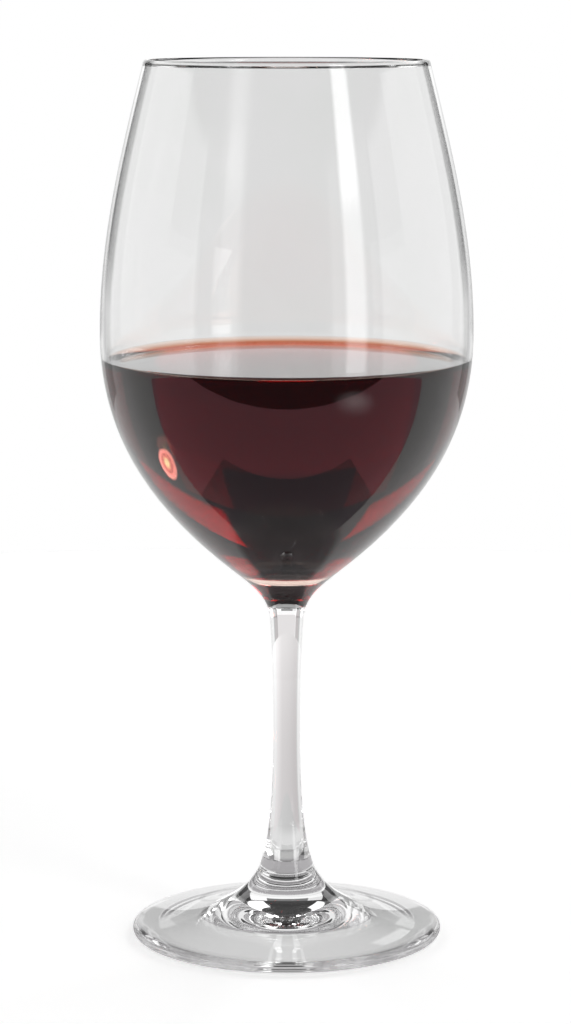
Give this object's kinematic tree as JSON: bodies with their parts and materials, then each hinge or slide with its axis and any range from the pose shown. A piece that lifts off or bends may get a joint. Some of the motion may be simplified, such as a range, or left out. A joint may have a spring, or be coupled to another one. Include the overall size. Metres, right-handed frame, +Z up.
{
  "type": "wine glass",
  "caption": "Stemmed wine glass with a tall tapered bowl, a waisted stem and a round hollow foot, holding red wine.",
  "frame": {"origin": "on the table, under the middle of the foot", "axes": "+Z up along the stem; the glass is round about it, so X and Y are any two level directions"},
  "size_m": [0.0947, 0.0946, 0.225],
  "materials": {
    "clear_glass": "polished",
    "wine": "gloss"
  },
  "bodies": {
    "root": {"bowl": "clear_glass", "stem": "clear_glass", "foot": "clear_glass", "red_wine": "wine"}
  },
  "joints": []
}
